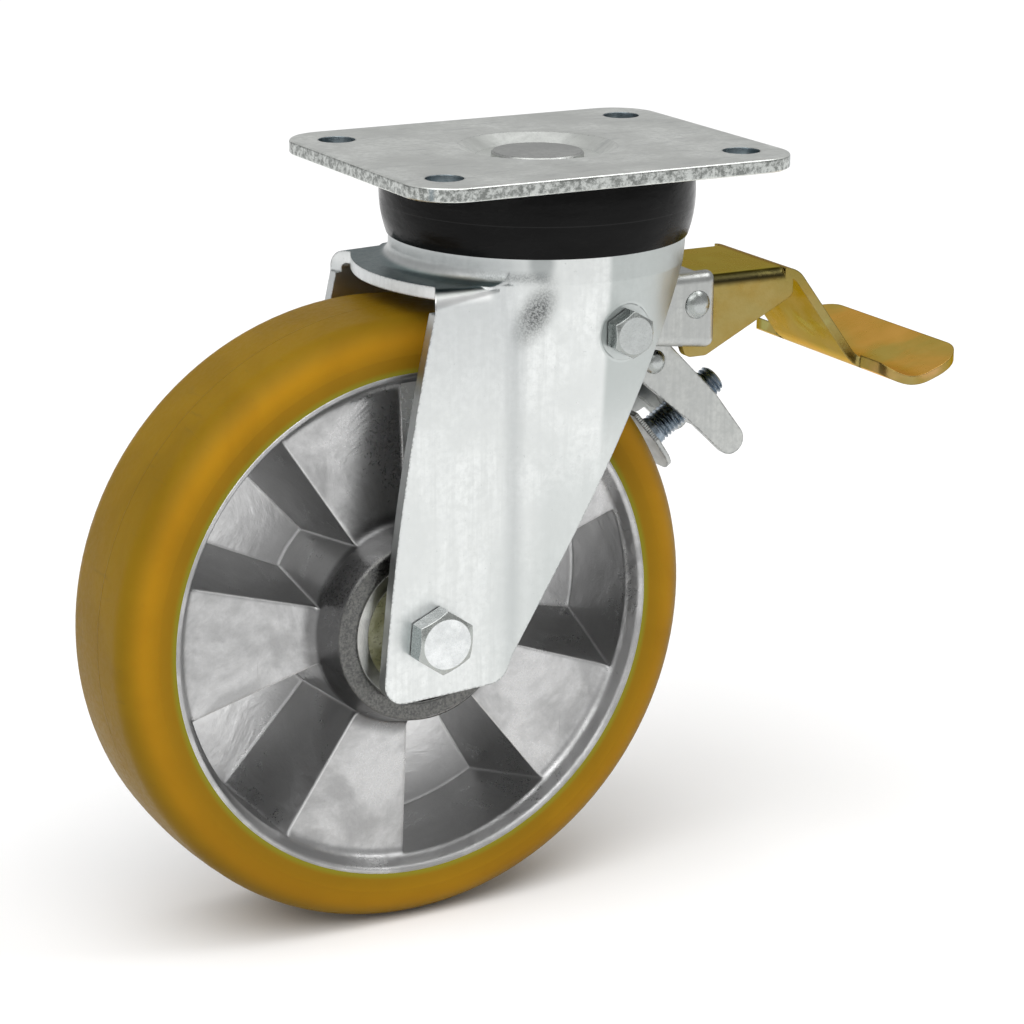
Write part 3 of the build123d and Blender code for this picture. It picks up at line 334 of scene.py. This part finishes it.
def zinc_fork():
    """Zinc on the fork: brightest on the legs, with painted shade in the crease, under the
    flange, behind the step, at the rear, below the swell, low on the legs, on the cup front, on
    the nose and in the knuckle, a painted dark reflection on the shelf, a painted highlight on
    the flange bend, and a smudge.
    """
    shader, colour, rough = zinc("zinc_fork", (0.83, 0.85, 0.84), (0.66, 0.68, 0.67))
    x = shader.axis("X")
    z = shader.axis("Z")
    side = shader.facing("Y")
    # Painted shade in the soft crease between the flat leg and the swell.
    crease_shade = shader.product(shader.band(x, crease_x, crease_half_width),
                            shader.span(z, -0.040, -0.052), 0.46)
    colour = shader.mix(crease_shade, colour, (0.42, 0.44, 0.44))
    # Painted shade under the shelf's flange.
    under_flange_shade = shader.product(shader.span(z, -0.085, -0.040),
                                  shader.span(x, -0.020, -0.034), 0.42)
    colour = shader.mix(under_flange_shade, colour, (0.46, 0.48, 0.49))
    # Painted shade in a band behind the step in the legs.
    step = shader.product(shader.span(x, -0.0015, 0.0010),
                          shader.span(z, -0.105, -0.065), 0.85)
    colour = shader.mix(step, colour, (0.42, 0.45, 0.44))
    # Painted shade on the rear of the fork, a darker reflection painted into the zinc.
    rear_shade = shader.product(shader.span(x, 0.012, 0.034), 0.45)
    colour = shader.mix(rear_shade, colour, (0.30, 0.32, 0.32))
    # Painted shade below the swell.
    below_swell_shade = shader.product(shader.span(z, -0.075, -0.105),
                                 shader.span(x, -0.026, -0.016), 0.45)
    colour = shader.mix(below_swell_shade, colour, (0.50, 0.53, 0.52))
    # Painted shade low on the front of the legs.
    low = shader.product(shader.span(z, -0.105, -0.135),
                         shader.span(x, -0.045, -0.030), 0.35)
    colour = shader.mix(low, colour, (0.48, 0.51, 0.50))
    # Painted reflection: the shelf's upward faces are darkened to the dark blue of the seal
    # above them.
    upright = shader.span(shader.facing("Z"), 0.55, 0.85)
    shelf_reflection = shader.product(shader.band(z, shelf_z, 0.0035), shader.span(x, -0.024, -0.032))
    shelf_reflection = shader.product(shelf_reflection, upright, 0.90)
    colour = shader.mix(shelf_reflection, colour, (0.08, 0.13, 0.14))
    # Painted shade on the cup's front just under the seal.
    front_cup_shade = shader.product(shader.band(z, shelf_z + 0.006, 0.0055),
                               shader.span(x, -0.020, -0.034), 0.55)
    colour = shader.mix(front_cup_shade, colour, (0.26, 0.28, 0.28))
    grit = shader.span(shader.noise(1700, 3, 0.7), 0.40, 0.60, 0.58, 1.0)
    slant = shader.math("ADD", x, shader.product(z, -smudge_lean))
    down = shader.product(shader.math("SUBTRACT", z, smudge_z), smudge_squash)
    aside = shader.math("SUBTRACT", slant, smudge_x)
    smudge = shader.math("SQRT", shader.math("ADD", shader.math("POWER", aside, 2.0),
                                             shader.math("POWER", down, 2.0)))
    smudge = shader.product(shader.span(smudge, smudge_radius, smudge_core_radius),
                            shader.span(side, 0.3, 0.6))
    upper = shader.span(z, -0.060, -0.040, 0.60, 0.95)
    colour = shader.mix(shader.product(smudge, grit, upper), colour, (0.06, 0.065, 0.065))
    # Painted shade on the rounded nose beside the knuckle.
    nose_x, nose_y, nose_z = nose_place
    nose_shade = shader.math("MINIMUM", shader.distance_to((nose_x, -nose_y, nose_z), nose_stretch),
                       shader.distance_to((nose_x, nose_y, nose_z), nose_stretch))
    nose_shade = shader.span(nose_shade, nose_radius, nose_radius - 0.0030)
    colour = shader.mix(shader.product(nose_shade, 0.65), colour, (0.22, 0.24, 0.24))
    # Painted shade in the crease marks at the knuckle, broken up with grit.
    knuckle_shade = shader.product(shader.band(z, shelf_z + 0.0022, 0.0030),
                             shader.span(x, -0.042, -0.034),
                             shader.span(x, -0.016, -0.022), grit, 0.60)
    colour = shader.mix(knuckle_shade, colour, (0.12, 0.13, 0.13))
    # Painted highlight along the flange's bend.
    flange_highlight = shader.product(shader.band(z, shelf_z - 0.0022, 0.0030),
                            shader.span(x, -0.0345, -0.0375),
                            shader.span(side, 0.35, 0.60), 0.9)
    colour = shader.mix(flange_highlight, colour, (0.98, 0.99, 0.98))
    seat = shader.span(shader.distance_to(pivot_centre, (1, 0, 1)),
                       pivot_seat_radius, pivot_seat_radius - 0.0005)
    colour = shader.mix(shader.product(seat, 0.9), colour, (0.52, 0.55, 0.54))
    front_edge = shader.product(shader.span(side, 0.5, 0.2),
                                shader.span(z, -0.045, -0.060), 0.55)
    colour = shader.mix(front_edge, colour, (0.26, 0.27, 0.27))
    shader.set(base_color=colour, metallic=1.0, roughness=rough)
    return shader.material


def zinc_bolt():
    """Bright zinc on bolts, nuts, washers and rivets, with painted shade on the sides, the
    chamfer and the higher parts, and painted highlights on the edges.
    """
    shader = Shader("zinc_bolt")
    clouds = shader.noise(220, 4, 0.6)
    fine = shader.noise(1100, 3, 0.65)
    ahead = shader.facing("Y")
    # Painted shade on the faces that turn sideways.
    side = shader.product(shader.span(ahead, 0.60, 0.30),
                          shader.span(shader.facing("X"), 0.60, 0.90))
    colour = shader.mix(shader.span(clouds, 0.32, 0.68),
                        (0.62, 0.64, 0.64), (0.78, 0.80, 0.80))
    colour = shader.mix(shader.product(side, 0.80), colour, (0.24, 0.28, 0.28))
    # Painted shade on the head's chamfer.
    bevel = shader.product(shader.span(ahead, 0.70, 0.80),
                           shader.span(ahead, 0.95, 0.89), 0.85)
    colour = shader.mix(bevel, colour, (0.36, 0.38, 0.36))
    # Painted shade on the parts that sit higher up, such as the pivot bolt.
    high = shader.product(shader.span(shader.axis("Z"), -0.10, -0.08), 0.70)
    colour = shader.mix(high, colour, (0.32, 0.34, 0.33))
    # Painted highlight along the edges.
    edge_highlight = shader.product(shader.edges(0.0004), 0.5)
    colour = shader.mix(edge_highlight, colour, (0.86, 0.88, 0.88))
    shader.set(base_color=colour, metallic=1.0,
               roughness=shader.span(fine, 0.3, 0.7, 0.20, 0.32))
    shader.bump(fine, 0.00006, 0.0004)
    return shader.material


def dark_steel():
    """Blue-grey zinc on the screw, its nut and the spring."""
    shader = Shader("dark_steel")
    clouds = shader.noise(260, 4, 0.6)
    colour = shader.mix(shader.span(clouds, 0.3, 0.7), (0.14, 0.18, 0.22), (0.38, 0.43, 0.48))
    shader.set(base_color=colour, metallic=1.0,
               roughness=shader.span(clouds, 0.3, 0.7, 0.20, 0.34))
    shader.bump(shader.noise(1300, 2, 0.6), 0.00004, 0.0002)
    return shader.material


def bearing_steel():
    """Ground and hardened steel, turned in fine rings round the axle."""
    shader = Shader("bearing_steel")
    radius = shader.distance_to(wheel_centre, (1, 0, 1))
    rings = shader.add("TexNoise", noise_dimensions="1D")
    shader.feed(rings.inputs["W"], radius)
    rings.inputs["Scale"].default_value = 3000
    clouds = shader.noise(120, 3, 0.5)
    colour = shader.mix(shader.span(clouds, 0.35, 0.65),
                        (0.44, 0.44, 0.42), (0.64, 0.64, 0.61))
    shader.set(base_color=colour, metallic=1.0,
               roughness=shader.span(clouds, 0.3, 0.7, 0.16, 0.26))
    shader.bump(rings.outputs["Fac"], 0.00002, 0.0003)
    return shader.material


def greased_shield():
    """The bearing's sheet shield under a film of olive grease."""
    shader = Shader("shield")
    blots = shader.noise(620, 5, 0.7, twist=0.8)
    films = shader.noise(130, 3, 0.5)
    colour = shader.mix(shader.span(films, 0.35, 0.65),
                        (0.24, 0.24, 0.13), (0.46, 0.46, 0.32))
    colour = shader.mix(shader.span(blots, 0.58, 0.72, 0.0, 0.8), colour, (0.07, 0.06, 0.03))
    shader.set(base_color=colour, metallic=0.5,
               roughness=shader.span(blots, 0.3, 0.7, 0.2, 0.5))
    shader.bump(blots, 0.0002)
    return shader.material


def cast_aluminium():
    """Die-cast aluminium: satin skin with flow clouds and fine drag lines, painted light on the
    pocket floors, painted shade on the pocket walls, the hub flare and the turned hub face, and
    painted highlights on the edges and corners.
    """
    shader = Shader("cast_aluminium")
    radius = shader.distance_to(wheel_centre, (1, 0, 1))
    across = shader.math("ABSOLUTE", shader.axis("Y"))
    clouds = shader.noise(42, 6, 0.62, twist=0.7)
    mottle = shader.noise(190, 5, 0.65, twist=0.4)
    fine = shader.noise(1400, 4, 0.7)
    blend = shader.math("ADD", shader.product(clouds, 0.78), shader.product(mottle, 0.22))
    colour = shader.mix(shader.span(blend, 0.38, 0.64),
                        (0.36, 0.36, 0.36), (0.54, 0.54, 0.54))
    colour = shader.mix(shader.span(fine, 0.5, 0.75, 0.0, 0.15), colour, (0.26, 0.26, 0.26))
    drag = shader.noise(240, 4, 0.8, stretch=(1, 1, 0.08), turn=(0.0, 0.9, 0.0))
    drag = shader.product(shader.span(drag, 0.66, 0.72), 0.30)
    colour = shader.mix(drag, colour, (0.20, 0.20, 0.20))
    # Painted light on the pocket floors, where the lamps reach little.
    flat = shader.facing("Y")
    pocket_floor_light = shader.product(shader.span(across, 0.0185, 0.0150),
                          shader.span(flat, 0.75, 0.92), 0.55)
    colour = shader.mix(pocket_floor_light, colour, (0.94, 0.94, 0.94))
    # Painted shade on the pocket walls.
    pocket_wall_shade = shader.product(shader.span(flat, 0.70, 0.45),
                           shader.span(across, 0.0245, 0.0235), 0.80)
    colour = shader.mix(pocket_wall_shade, colour, (0.47, 0.47, 0.47))
    # Painted shade on the flare round the hub.
    flare_shade = shader.product(shader.span(radius, 0.0390, 0.0345),
                           shader.span(across, 0.0150, 0.0180), 0.72)
    colour = shader.mix(flare_shade, colour, (0.09, 0.09, 0.09))
    # The turned hub face: fine turned rings, painted dark as the shade it shows.
    face = shader.product(shader.span(radius, hub_face_radius, hub_face_radius - 0.0015),
                          shader.span(across, hub_face - 0.0012, hub_face - 0.0004))
    turned_face_and_shade = shader.mix(shader.span(fine, 0.35, 0.65), (0.09, 0.09, 0.09), (0.17, 0.17, 0.16))
    colour = shader.mix(face, colour, turned_face_and_shade)
    # Painted highlights along the edges and corners, inside the web and on the outermost ring.
    inside = shader.span(radius, bond_radius - 0.0055, bond_radius - 0.0075, 0.15, 1.0)
    outmost = shader.span(radius, bond_radius - 0.0020, bond_radius - 0.0012)
    lined = shader.math("MAXIMUM", inside, outmost)
    line_highlight = shader.product(shader.edges(0.0007), lined,
                          shader.span(clouds, 0.35, 0.6, 0.30, 0.75))
    colour = shader.mix(line_highlight, colour, (0.78, 0.78, 0.77))
    corner = shader.product(shader.edges(0.0013), shader.span(across, 0.0200, 0.0150),
                            lined, 0.9)
    colour = shader.mix(corner, colour, (0.95, 0.95, 0.94))
    rough = shader.math("ADD", shader.span(blend, 0.38, 0.62, 0.36, 0.24),
                        shader.span(fine, 0.3, 0.7, 0.0, 0.10))
    shader.set(base_color=colour, metallic=1.0, roughness=rough)
    ejector = shader.band(shader.distance_to(ejector_place), ejector_radius, ejector_line)
    relief = shader.math("ADD", shader.product(clouds, 0.8), shader.product(fine, 0.03))
    relief = shader.math("ADD", relief, shader.product(ejector, 0.25))
    shader.bump(relief, 0.0007, 0.0018)
    return shader.material


def amber_tyre():
    """Amber polyurethane: olive on the tread, greenish at the bond, with a parting line."""
    shader = Shader("tyre")
    radius = shader.distance_to(wheel_centre, (1, 0, 1))
    across = shader.axis("Y")
    clouds = shader.noise(22, 4, 0.55, twist=0.5)
    fine = shader.noise(600, 4, 0.6)
    scuffs = shader.span(shader.noise(260, 4, 0.7, stretch=(1, 0.15, 1)), 0.60, 0.72)
    colour = shader.mix(shader.span(clouds, 0.35, 0.65),
                        (0.385, 0.192, 0.010), (0.450, 0.228, 0.011))
    tread = shader.span(radius, wheel_radius - 0.0075, wheel_radius - 0.0010)
    olive = shader.mix(shader.span(clouds, 0.35, 0.65),
                       (0.205, 0.120, 0.006), (0.240, 0.142, 0.007))
    colour = shader.mix(shader.product(tread, 0.92), colour, olive)
    inner = shader.span(radius, bond_radius + 0.0100, bond_radius + 0.0020)
    colour = shader.mix(shader.product(inner, 0.50), colour, (0.24, 0.145, 0.010))
    bond = shader.span(radius, bond_radius + 0.0024, bond_radius + 0.0004)
    colour = shader.mix(shader.product(bond, 0.65), colour, (0.27, 0.30, 0.03))
    parting = shader.band(across, tyre_parting_y, tyre_parting_half_width)
    colour = shader.mix(shader.product(parting, 0.35), colour, (0.12, 0.07, 0.006))
    colour = shader.mix(shader.product(scuffs, tread, 0.25), colour, (0.15, 0.10, 0.02))
    shader.set(base_color=colour, roughness=shader.span(fine, 0.3, 0.7, 0.34, 0.46),
               subsurface_weight=0.15, subsurface_radius=(0.004, 0.0016, 0.0004))
    shader.surface.inputs["Subsurface Scale"].default_value = 1.0
    shader.surface.inputs["Specular IOR Level"].default_value = 0.05
    relief = shader.math("ADD", shader.product(clouds, 0.8), shader.product(fine, 0.04))
    shader.bump(shader.math("ADD", relief, shader.product(parting, 0.25)), 0.0004)
    return shader.material


def black_seal():
    """Glossy black plastic with faint moulding waves and a parting line round its middle."""
    shader = Shader("seal")
    waves = shader.noise(60, 3, 0.5, stretch=(1, 1, 3))
    fine = shader.noise(900, 3, 0.6)
    parting = shader.band(shader.axis("Z"), seal_low.z + seal_parting_height,
                          seal_parting_half_width)
    colour = shader.mix(waves, (0.005, 0.005, 0.005), (0.012, 0.012, 0.012))
    colour = shader.mix(shader.product(parting, 0.5), colour, (0.04, 0.04, 0.04))
    shader.set(base_color=colour, roughness=shader.span(waves, 0.3, 0.7, 0.18, 0.30))
    shader.surface.inputs["Specular IOR Level"].default_value = 0.07
    shader.bump(shader.math("ADD", waves, shader.product(fine, 0.05)), 0.0004, 0.0006)
    return shader.material


def gold_zinc():
    """Yellow passivated zinc, gold with olive, orange and green films, with painted light on the
    top faces and a painted dark reflection along the top bend.
    """
    shader = Shader("gold_zinc")
    films = shader.noise(24, 3, 0.5, twist=1.2)
    clouds = shader.noise(80, 5, 0.6)
    fine = shader.noise(800, 3, 0.6)
    x = shader.axis("X")
    colour = shader.mix(shader.span(films, 0.38, 0.56),
                        (0.25, 0.195, 0.050), (0.31, 0.215, 0.055))
    colour = shader.mix(shader.span(films, 0.56, 0.66, 0.0, 0.7), colour, (0.58, 0.33, 0.14))
    colour = shader.mix(shader.span(films, 0.40, 0.32, 0.0, 0.6), colour, (0.34, 0.38, 0.14))
    colour = shader.mix(shader.span(clouds, 0.35, 0.7, 0.0, 0.4), colour, (0.46, 0.39, 0.17))
    # Painted light: the top faces take a lighter tint than the sides, the light they catch,
    # growing lighter along the stem.
    flat = shader.span(shader.facing("Z"), 0.45, 0.80)
    top_face_light = shader.mix(shader.span(films, 0.36, 0.60), (0.74, 0.57, 0.17), (0.98, 0.58, 0.16))
    top_face_light = shader.mix(shader.span(x, 0.084, 0.080), top_face_light, (0.62, 0.56, 0.16))
    stem = shader.product(shader.span(x, 0.079, 0.082), shader.span(x, 0.108, 0.104))
    stem_top_light = shader.mix(shader.span(clouds, 0.35, 0.65),
                           (0.30, 0.20, 0.075), (0.42, 0.31, 0.14))
    stem_top_light = shader.mix(shader.span(x, 0.094, 0.103), stem_top_light, (0.58, 0.47, 0.24))
    top_face_light = shader.mix(stem, top_face_light, stem_top_light)
    colour = shader.mix(shader.product(flat, 0.85), colour, top_face_light)
    edge = shader.product(shader.edges(0.0006), shader.span(fine, 0.4, 0.6), 0.5)
    colour = shader.mix(edge, colour, (0.20, 0.14, 0.04))
    # Painted reflection: a dark band along the top bend.
    bend_reflection = shader.product(shader.span(shader.facing("Z"), 0.12, 0.45),
                          shader.span(shader.facing("Y"), 0.10, 0.35),
                          shader.span(x, 0.083, 0.079),
                          shader.span(clouds, 0.25, 0.50, 0.80, 0.96))
    colour = shader.mix(bend_reflection, colour, (0.030, 0.026, 0.012))
    shader.set(base_color=colour, metallic=1.0, specular_tint=(0.66, 0.50, 0.26),
               roughness=shader.span(clouds, 0.3, 0.7, 0.24, 0.38))
    shader.bump(fine, 0.00007, 0.0006)
    return shader.material


def floor_material():
    """A pale floor that shows as the white ground and keeps the shadow."""
    shader = Shader("floor")
    shader.set(base_color=(floor_level, floor_level, floor_level), roughness=1.0)
    shader.surface.inputs["Specular IOR Level"].default_value = 0.0
    seen = shader.add("BsdfDiffuse")
    backdrop = (backdrop_level, backdrop_level, backdrop_level, 1.0)
    seen.inputs["Color"].default_value = backdrop
    path = shader.add("LightPath")
    direct = shader.math("MAXIMUM", path.outputs["Is Camera Ray"], path.outputs["Is Glossy Ray"])
    direct = shader.math("MAXIMUM", direct, path.outputs["Is Transmission Ray"])
    blend = shader.add("MixShader")
    shader.feed(blend.inputs[0], direct)
    shader.feed(blend.inputs[1], shader.surface.outputs[0])
    shader.feed(blend.inputs[2], seen.outputs[0])
    shader.feed(shader.tree.nodes["Material Output"].inputs["Surface"], blend.outputs[0])
    return shader.material


def mesh_object(name, vertices, faces, material, smooth=True):
    """A new object from plain lists of points and faces."""
    mesh = bpy.data.meshes.new(name)
    mesh.from_pydata([tuple(point) for point in vertices], [], faces)
    mesh.materials.append(material)
    mesh.polygons.foreach_set("use_smooth", [smooth] * len(mesh.polygons))
    mesh.update()
    made = bpy.data.objects.new(name, mesh)
    bpy.context.scene.collection.objects.link(made)
    return made


def tube_faces(rings, steps):
    """The faces of a closed tube whose points are listed ring after ring."""
    faces = []
    for ring in range(rings - 1):
        for step in range(steps):
            here = ring * steps + step
            beyond = ring * steps + (step + 1) % steps
            faces.append((here, beyond, beyond + steps, here + steps))
    last = (rings - 1) * steps
    faces.append(tuple(reversed(range(steps))))
    faces.append(tuple(range(last, last + steps)))
    return faces


def thread_profile(share):
    """Height of a metric thread, from 0 in its root to 1 on its crest, over one pitch."""
    ridge = 1 - abs(2 * (share % 1.0) - 1)
    return min(max((ridge - thread_flat_share) / (1 - 2 * thread_flat_share), 0.0), 1.0)


def add_thread(material):
    """The adjusting screw with its real thread, in place of the plain rod."""
    low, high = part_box("adjusting_screw")
    angle = math.radians(screw_angle_deg)
    along = Vector((math.cos(angle), 0, math.sin(angle)))
    across = Vector((-math.sin(angle), 0, math.cos(angle)))
    beside = along.cross(across)
    foot = (low + high) / 2 - along * (screw_length / 2)
    step = thread_pitch / thread_pitch_steps
    count = int(screw_length / step)
    rings = [step * index for index in range(count + 1)] + [screw_length]
    points = []
    for distance in rings:
        for turn in range(thread_turn_steps):
            share = turn / thread_turn_steps
            depth = thread_depth * (1 - thread_profile(distance / thread_pitch - share))
            run_in = min(max((distance - thread_collar) / thread_pitch, 0.0), 1.0)
            tip = thread_radius - thread_chamfer + (screw_length - distance)
            radius = min(thread_radius - depth * run_in, tip)
            spin = 2 * math.pi * share
            points.append(foot + along * distance
                          + (across * math.cos(spin) + beside * math.sin(spin)) * radius)
    screw = mesh_object("threaded_screw", points, tube_faces(len(rings), thread_turn_steps),
                        material, smooth=False)
    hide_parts("adjusting_screw")
    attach(screw, "brake_arm")


def add_bolt(name, material, flats, head, shank_radius, turn_deg):
    """A hexagon bolt with a corner up, its head's corners turned off to a round face."""
    low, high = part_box(name)
    seat = low.y + head
    bevel = bolt_end_bevel_share * shank_radius
    face_radius = bolt_face_share * flats / 2
    washer_radius = bolt_washer_share * flats / 2
    corners = []
    for step in range(bolt_steps):
        off_middle = (2 * math.pi * step / bolt_steps) % (math.pi / 3) - math.pi / 6
        corners.append(flats / 2 / math.cos(off_middle))
    slope = math.tan(math.radians(bolt_face_deg))
    rings = [
        [(face_radius, low.y)] * bolt_steps,
        [(corner, low.y + (corner - face_radius) * slope) for corner in corners],
        [(corner, seat - bolt_washer_height) for corner in corners],
        [(washer_radius, seat - bolt_washer_height)] * bolt_steps,
        [(washer_radius, seat)] * bolt_steps,
        [(shank_radius, seat)] * bolt_steps,
        [(shank_radius, high.y - bevel)] * bolt_steps,
        [(shank_radius - bevel, high.y)] * bolt_steps,
    ]
    middle = (low + high) / 2
    points = []
    for ring in rings:
        for step, (radius, y) in enumerate(ring):
            angle = 2 * math.pi * step / bolt_steps + math.radians(turn_deg)
            points.append((middle.x + radius * math.sin(angle), y,
                           middle.z + radius * math.cos(angle)))
    bolt = mesh_object(name + "_turned", points, tube_faces(len(rings), bolt_steps),
                       material, smooth=False)
    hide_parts(name)
    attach(bolt, "fork")


def add_floor():
    """A wide pale floor under the wheel."""
    corners = [(-floor_reach, -floor_reach, floor_z), (floor_reach, -floor_reach, floor_z),
               (floor_reach, floor_reach, floor_z), (-floor_reach, floor_reach, floor_z)]
    floor = mesh_object("floor", corners, [(0, 1, 2, 3)], floor_material(), smooth=False)


def add_lamp(lamp, place):
    """Put a lamp at a place, turned towards the castor."""
    made = bpy.data.objects.new(lamp.name, lamp)
    made.location = place
    towards = Vector(lit_place) - Vector(place)
    made.rotation_euler = towards.to_track_quat("-Z", "Y").to_euler()
    bpy.context.scene.collection.objects.link(made)


def add_soft_box(name, place, size, power):
    """A soft rectangular lamp."""
    lamp = bpy.data.lights.new(name, "AREA")
    lamp.shape = "RECTANGLE"
    lamp.size, lamp.size_y = size
    lamp.energy = power
    add_lamp(lamp, place)


def add_lights():
    """A wide soft sun, two soft boxes and an even grey world."""
    sun = bpy.data.lights.new("sky_light", "SUN")
    sun.energy = sun_power
    sun.angle = math.radians(sun_angle_deg)
    add_lamp(sun, sun_place)
    add_soft_box("above_right", right_lamp_place, right_lamp_size, right_lamp_power)
    add_soft_box("left_front", left_lamp_place, left_lamp_size, left_lamp_power)
    world = bpy.data.worlds.new("studio")
    world.use_nodes = True
    background = world.node_tree.nodes["Background"]
    background.inputs["Color"].default_value = (1.0, 1.0, 1.0, 1.0)
    background.inputs["Strength"].default_value = world_level
    bpy.context.scene.world = world


def add_camera():
    """The camera at the photograph's place, with its own focal length and roll."""
    azimuth = math.radians(camera_azimuth)
    elevation = math.radians(camera_elevation)
    roll = math.radians(camera_roll)
    back = Vector((math.sin(azimuth) * math.cos(elevation),
                   -math.cos(azimuth) * math.cos(elevation), math.sin(elevation)))
    right = (-back).cross(Vector((0, 0, 1))).normalized()
    up = right.cross(-back)
    rolled_right = right * math.cos(roll) + up * math.sin(roll)
    rolled_up = up * math.cos(roll) - right * math.sin(roll)
    turn = Matrix((rolled_right, rolled_up, back)).transposed().to_4x4()
    data = bpy.data.cameras.new("camera")
    data.sensor_width = sensor_width
    data.lens = sensor_width * camera_focal_pixels / image_pixels
    camera = bpy.data.objects.new("camera", data)
    camera.matrix_world = Matrix.Translation(camera_place) @ turn
    bpy.context.scene.collection.objects.link(camera)
    bpy.context.scene.camera = camera


def dress_nodes():
    """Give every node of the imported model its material, and return them by slot."""
    materials = {
        "zinc_sheet": zinc_small(),
        "zinc_bolt": zinc_bolt(),
        "dark_steel": dark_steel(),
        "bearing_steel": bearing_steel(),
        "shield": greased_shield(),
        "cast_aluminium": cast_aluminium(),
        "tyre": amber_tyre(),
        "seal": black_seal(),
        "gold_zinc": gold_zinc(),
    }
    own = {"top_plate": zinc_plate(), "fork": zinc_fork(), "kingpin": materials["zinc_sheet"]}
    slots = {row["node"]: row["material_slot"] for row in frame["record"]["subparts"]}
    for name, node in frame["nodes"].items():
        node.data.materials.clear()
        node.data.materials.append(own.get(name, materials[slots[name]]))
    return materials


add_camera()
add_floor()
add_lights()
materials = dress_nodes()
add_thread(materials["dark_steel"])
add_bolt("axle_bolt", materials["zinc_bolt"],
         flats=0.018, head=0.0075, shank_radius=0.006, turn_deg=5.0)
add_bolt("pivot_bolt", materials["zinc_bolt"],
         flats=0.013, head=0.0063, shank_radius=0.004, turn_deg=0.0)
bpy.context.scene.view_settings.view_transform = "Standard"
